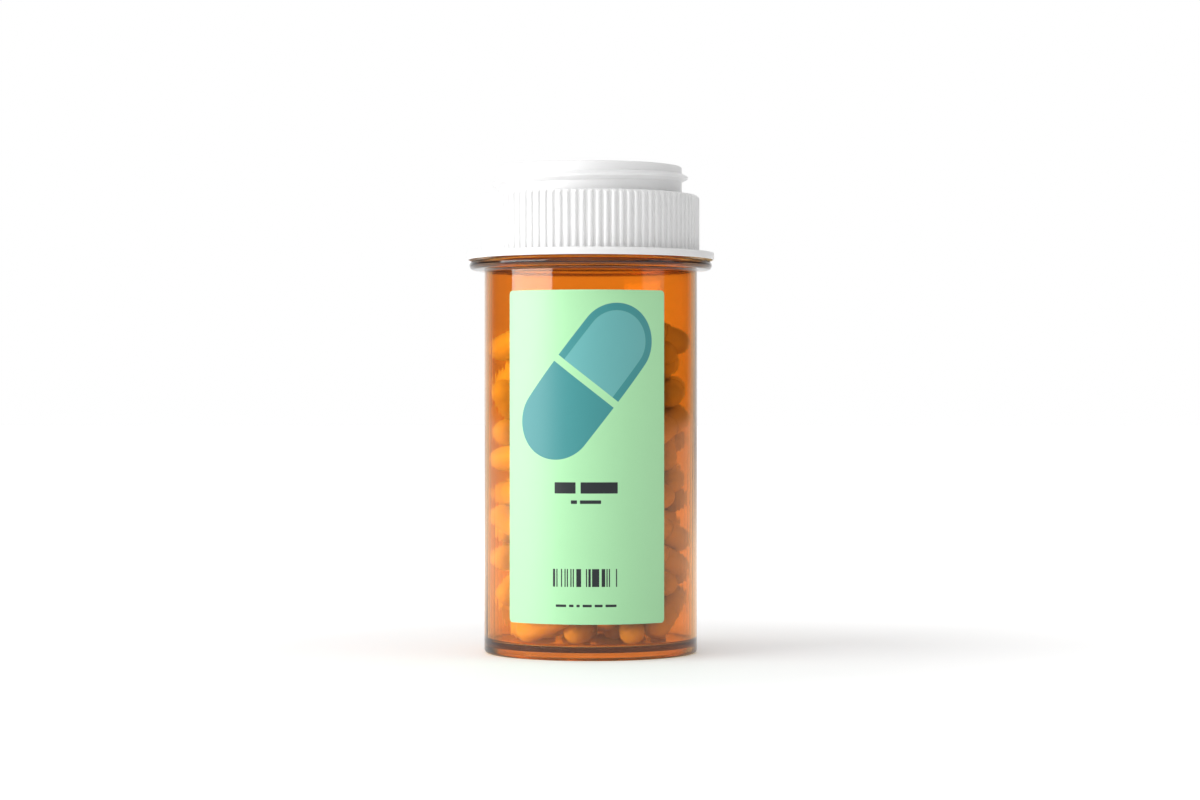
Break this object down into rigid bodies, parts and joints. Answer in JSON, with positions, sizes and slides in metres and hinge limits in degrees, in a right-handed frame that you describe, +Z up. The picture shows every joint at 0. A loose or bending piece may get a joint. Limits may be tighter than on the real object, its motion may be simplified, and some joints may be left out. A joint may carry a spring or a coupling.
{
  "type": "prescription vial",
  "caption": "Amber cylindrical medicine vial with a flanged rim, ribbed white push-and-turn cap with a threaded plug ring on top, a stuck-on label and a pile of capsules.",
  "frame": {"origin": "centre of the foot ring's underside, where the vial stands", "axes": "+Z up along the vial's axis, -Y through the front of the label"},
  "size_m": [0.0614, 0.0614, 0.1206],
  "materials": {
    "amber_plastic": "clear amber moulding",
    "label_paper": "coated label paper",
    "liner_foam": "fine foam",
    "spring_plastic": "satin",
    "white_plastic": "satin moulding",
    "capsule_body_shell": "gelatin gloss",
    "capsule_cap_shell": "gelatin gloss"
  },
  "bodies": {
    "vial": {"vial_body": "amber_plastic", "label": "label_paper", "capsule_bodies_1": "capsule_body_shell", "capsule_bodies_2": "capsule_body_shell", "capsule_bodies_3": "capsule_body_shell", "capsule_bodies_4": "capsule_body_shell", "capsule_bodies_5": "capsule_body_shell", "capsule_bodies_6": "capsule_body_shell", "capsule_bodies_7": "capsule_body_shell", "capsule_bodies_8": "capsule_body_shell", "capsule_caps_1": "capsule_cap_shell", "capsule_caps_2": "capsule_cap_shell", "capsule_caps_3": "capsule_cap_shell", "capsule_caps_4": "capsule_cap_shell", "capsule_caps_5": "capsule_cap_shell", "capsule_caps_6": "capsule_cap_shell", "capsule_caps_7": "capsule_cap_shell", "capsule_caps_8": "capsule_cap_shell"},
    "seal": {"seal_liner": "liner_foam"},
    "spring": {"spring_disc": "spring_plastic"},
    "cap": {"cap": "white_plastic"}
  },
  "joints": [
    {"name": "cap_lift", "type": "slide", "parent": "vial", "child": "seal", "axis": [0, 0, 1], "range_m": [0, 0.055]},
    {"name": "cap_press", "type": "slide", "parent": "seal", "child": "spring", "axis": [0, 0, -1], "range_m": [0, 0.0008], "stiffness_N_per_m": 12000, "deforming": ["spring_disc"]},
    {"name": "cap_turn", "type": "hinge", "parent": "spring", "child": "cap", "pos_m": [0, 0, 0.1], "axis": [0, 0, -1], "range_deg": [0, 36]}
  ]
}
